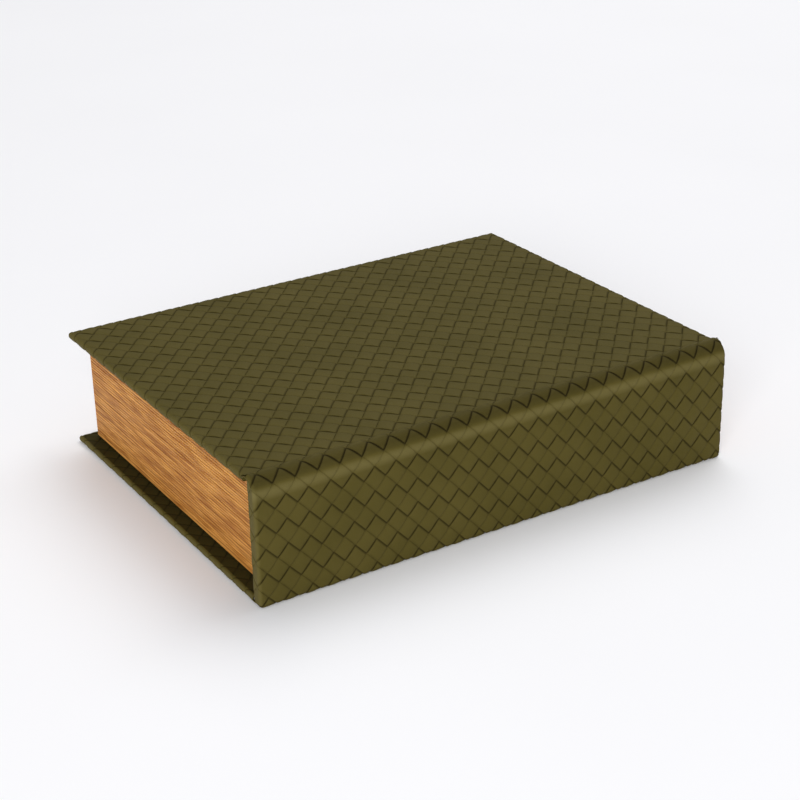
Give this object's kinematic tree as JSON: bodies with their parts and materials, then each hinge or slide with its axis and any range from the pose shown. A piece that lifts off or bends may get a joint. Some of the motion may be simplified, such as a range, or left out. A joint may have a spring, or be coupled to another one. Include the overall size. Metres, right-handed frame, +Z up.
{
  "type": "card deck box",
  "caption": "Book-shaped box for two card decks: leather-wrapped hinged lid, spine and base round a wooden page-block tray with two lined wells.",
  "frame": {"origin": "on the table under the middle of the box", "axes": "+X along the spine (head end at -X, tail end at +X), +Y from the spine to the fore-edge, +Z up to the lid"},
  "size_m": [0.165, 0.127, 0.0396],
  "materials": {
    "cover_leather": "olive leather embossed as a diagonal basket weave, satin",
    "greyboard": "bare greyboard, inside the leather",
    "page_wood": "golden brown wood with fine grooves like page edges, oiled",
    "plywood": "bare birch plywood",
    "suede": "dark suede cloth on card",
    "nickel": "nickel-plated magnet"
  },
  "bodies": {
    "case": {"base_leather": "cover_leather", "base_board": "greyboard", "spine_leather": "cover_leather", "spine_board": "greyboard", "hinge_leather": "cover_leather", "hinge_lining": "suede", "wall_head": "page_wood", "wall_tail": "page_wood", "wall_spine": "page_wood", "wall_fore_edge": "page_wood", "tray_magnet_left": "nickel", "tray_magnet_right": "nickel", "tray_floor": "plywood", "divider": "suede", "liner_end_left": "suede", "liner_end_right": "suede", "liner_spine_left": "suede", "liner_spine_right": "suede", "liner_fore_left": "suede", "liner_fore_right": "suede", "floor_pad_left": "suede", "floor_pad_right": "suede"},
    "lid": {"lid_leather": "cover_leather", "lid_board": "greyboard", "lid_lining": "suede", "lid_magnet_left": "nickel", "lid_magnet_right": "nickel"}
  },
  "joints": [
    {"name": "lid_hinge", "type": "hinge", "parent": "case", "child": "lid", "pos_m": [0, -0.0579, 0.0397], "axis": [1, 0, 0], "range_deg": [0, 178], "deforming": ["hinge_leather", "hinge_lining"]}
  ]
}
